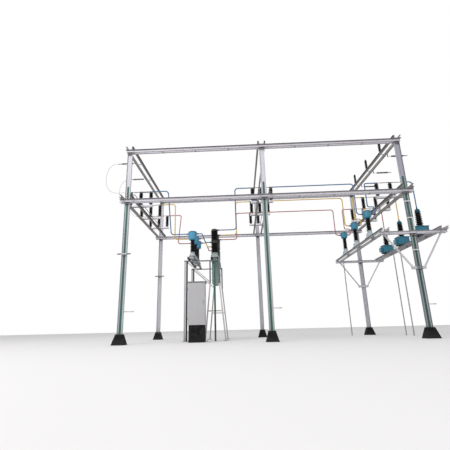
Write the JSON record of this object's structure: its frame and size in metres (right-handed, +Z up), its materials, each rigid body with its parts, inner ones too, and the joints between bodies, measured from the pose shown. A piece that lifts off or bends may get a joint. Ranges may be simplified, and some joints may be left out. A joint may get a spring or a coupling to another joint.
{
  "type": "substation switchgear bay",
  "caption": "Outdoor switchgear bay: steel column gantry with beams carrying rotary isolators, breaker, instrument transformers, tube conductors and a control kiosk.",
  "frame": {"origin": "centre of the front left footing's underside, at ground level", "axes": "+X runs along the front of the bay from the left columns to the right ones, +Y runs from the front row of columns to the rear row, +Z is up"},
  "size_m": [13.7674, 6.7, 8.3875],
  "materials": {
    "black_concrete": "painted concrete, matt",
    "zinc_steel": "hot-dip zinc, dull",
    "weathered_zinc": "hot-dip zinc, weathered dark",
    "earth_green": "satin paint",
    "pale_grey_paint": "satin paint",
    "dark_porcelain": "brown-black glaze",
    "teal_paint": "satin paint",
    "blue_tube_paint": "phase colour, satin",
    "yellow_tube_paint": "phase colour, satin",
    "red_tube_paint": "phase colour, satin",
    "bare_aluminium": "stranded, weathered"
  },
  "bodies": {
    "gantry": {"footings": "black_concrete", "front_columns": "zinc_steel", "rear_columns": "zinc_steel", "top_front_beam": "zinc_steel", "top_rear_beam": "zinc_steel", "lower_front_beam": "zinc_steel", "lower_rear_beam": "zinc_steel", "top_cross_beams": "weathered_zinc", "lower_cross_beams": "weathered_zinc", "beam_cleats": "zinc_steel", "earth_strips": "earth_green", "column_straps": "pale_grey_paint", "isolator_bases": "weathered_zinc", "isolator_end_insulators": "dark_porcelain", "isolator_end_contacts": "weathered_zinc", "shaft_guides": "zinc_steel", "breaker_frame": "zinc_steel", "breaker_mechanism": "pale_grey_paint", "breaker_insulators": "dark_porcelain", "breaker_pole_metal": "pale_grey_paint", "transformer_stand": "zinc_steel", "transformer_feet": "pale_grey_paint", "transformer_insulators": "dark_porcelain", "transformer_heads": "teal_paint", "kiosk_plinth": "black_concrete", "kiosk_cabinet": "pale_grey_paint", "kiosk_roof": "pale_grey_paint", "outrigger_arms": "zinc_steel", "outrigger_beams": "weathered_zinc", "outrigger_braces": "zinc_steel", "voltage_transformer_tanks": "teal_paint", "voltage_transformer_bushings": "dark_porcelain", "blue_tubes": "blue_tube_paint", "yellow_tubes": "yellow_tube_paint", "red_tubes": "red_tube_paint", "top_post_insulators": "dark_porcelain", "strain_insulators": "dark_porcelain", "cable_conduits": "zinc_steel", "seat_cleats": "weathered_zinc", "blue_jumper": "bare_aluminium", "yellow_jumper": "bare_aluminium", "red_jumper": "bare_aluminium"},
    "left_shaft": {"left_operating_shaft": "zinc_steel"},
    "left_tie": {"left_tie_tube": "zinc_steel"},
    "left_blue_pole": {"left_blue_rotor": "dark_porcelain"},
    "left_yellow_pole": {"left_yellow_rotor": "dark_porcelain"},
    "left_red_pole": {"left_red_rotor": "dark_porcelain"},
    "middle_shaft": {"middle_operating_shaft": "zinc_steel"},
    "middle_tie": {"middle_tie_tube": "zinc_steel"},
    "middle_blue_pole": {"middle_blue_rotor": "dark_porcelain"},
    "middle_yellow_pole": {"middle_yellow_rotor": "dark_porcelain"},
    "middle_red_pole": {"middle_red_rotor": "dark_porcelain"},
    "right_shaft": {"right_operating_shaft": "zinc_steel"},
    "right_tie": {"right_tie_tube": "zinc_steel"},
    "right_blue_pole": {"right_blue_rotor": "dark_porcelain"},
    "right_yellow_pole": {"right_yellow_rotor": "dark_porcelain"},
    "right_red_pole": {"right_red_rotor": "dark_porcelain"},
    "kiosk_leaf": {"kiosk_door": "pale_grey_paint"}
  },
  "joints": [
    {"name": "left_shaft_turn", "type": "hinge", "parent": "gantry", "child": "left_shaft", "pos_m": [0, 0.19, 5.8], "axis": [0, 0, 1], "range_deg": [0, 90]},
    {"name": "left_tie_swing", "type": "hinge", "parent": "left_yellow_pole", "child": "left_tie", "pos_m": [0.26607, 2.94393, 5.7845], "axis": [0, 0, 1], "range_deg": [-90, 0]},
    {"name": "left_blue_turn", "type": "hinge", "parent": "gantry", "child": "left_blue_pole", "pos_m": [0.16, 1.3, 5.8], "axis": [0, 0, 1], "range_deg": [0, 90]},
    {"name": "left_yellow_turn", "type": "hinge", "parent": "gantry", "child": "left_yellow_pole", "pos_m": [0.16, 3.05, 5.8], "axis": [0, 0, 1], "range_deg": [0, 90]},
    {"name": "left_red_turn", "type": "hinge", "parent": "gantry", "child": "left_red_pole", "pos_m": [0.16, 4.8, 5.8], "axis": [0, 0, 1], "range_deg": [0, 90]},
    {"name": "middle_shaft_turn", "type": "hinge", "parent": "gantry", "child": "middle_shaft", "pos_m": [5.5, 0.19, 5.8], "axis": [0, 0, 1], "range_deg": [0, 90]},
    {"name": "middle_tie_swing", "type": "hinge", "parent": "middle_yellow_pole", "child": "middle_tie", "pos_m": [5.60607, 2.94393, 5.7845], "axis": [0, 0, 1], "range_deg": [-90, 0]},
    {"name": "middle_blue_turn", "type": "hinge", "parent": "gantry", "child": "middle_blue_pole", "pos_m": [5.5, 1.3, 5.8], "axis": [0, 0, 1], "range_deg": [0, 90]},
    {"name": "middle_yellow_turn", "type": "hinge", "parent": "gantry", "child": "middle_yellow_pole", "pos_m": [5.5, 3.05, 5.8], "axis": [0, 0, 1], "range_deg": [0, 90]},
    {"name": "middle_red_turn", "type": "hinge", "parent": "gantry", "child": "middle_red_pole", "pos_m": [5.5, 4.8, 5.8], "axis": [0, 0, 1], "range_deg": [0, 90]},
    {"name": "right_shaft_turn", "type": "hinge", "parent": "gantry", "child": "right_shaft", "pos_m": [11.05, 0.19, 5.8], "axis": [0, 0, 1], "range_deg": [0, 90]},
    {"name": "right_tie_swing", "type": "hinge", "parent": "right_yellow_pole", "child": "right_tie", "pos_m": [11.15607, 2.94393, 5.7845], "axis": [0, 0, 1], "range_deg": [-90, 0]},
    {"name": "right_blue_turn", "type": "hinge", "parent": "gantry", "child": "right_blue_pole", "pos_m": [11.05, 1.3, 5.8], "axis": [0, 0, 1], "range_deg": [0, 90]},
    {"name": "right_yellow_turn", "type": "hinge", "parent": "gantry", "child": "right_yellow_pole", "pos_m": [11.05, 3.05, 5.8], "axis": [0, 0, 1], "range_deg": [0, 90]},
    {"name": "right_red_turn", "type": "hinge", "parent": "gantry", "child": "right_red_pole", "pos_m": [11.05, 4.8, 5.8], "axis": [0, 0, 1], "range_deg": [0, 90]},
    {"name": "kiosk_door_swing", "type": "hinge", "parent": "gantry", "child": "kiosk_leaf", "pos_m": [2.349, 0.8195, 1.3], "axis": [0, 0, 1], "range_deg": [-110, 0]}
  ],
  "couplings": [
    {"joint": "left_tie_swing", "follows": "left_shaft_turn", "ratio": -1},
    {"joint": "left_blue_turn", "follows": "left_shaft_turn", "ratio": 1},
    {"joint": "left_yellow_turn", "follows": "left_shaft_turn", "ratio": 1},
    {"joint": "left_red_turn", "follows": "left_shaft_turn", "ratio": 1},
    {"joint": "middle_tie_swing", "follows": "middle_shaft_turn", "ratio": -1},
    {"joint": "middle_blue_turn", "follows": "middle_shaft_turn", "ratio": 1},
    {"joint": "middle_yellow_turn", "follows": "middle_shaft_turn", "ratio": 1},
    {"joint": "middle_red_turn", "follows": "middle_shaft_turn", "ratio": 1},
    {"joint": "right_tie_swing", "follows": "right_shaft_turn", "ratio": -1},
    {"joint": "right_blue_turn", "follows": "right_shaft_turn", "ratio": 1},
    {"joint": "right_yellow_turn", "follows": "right_shaft_turn", "ratio": 1},
    {"joint": "right_red_turn", "follows": "right_shaft_turn", "ratio": 1}
  ]
}
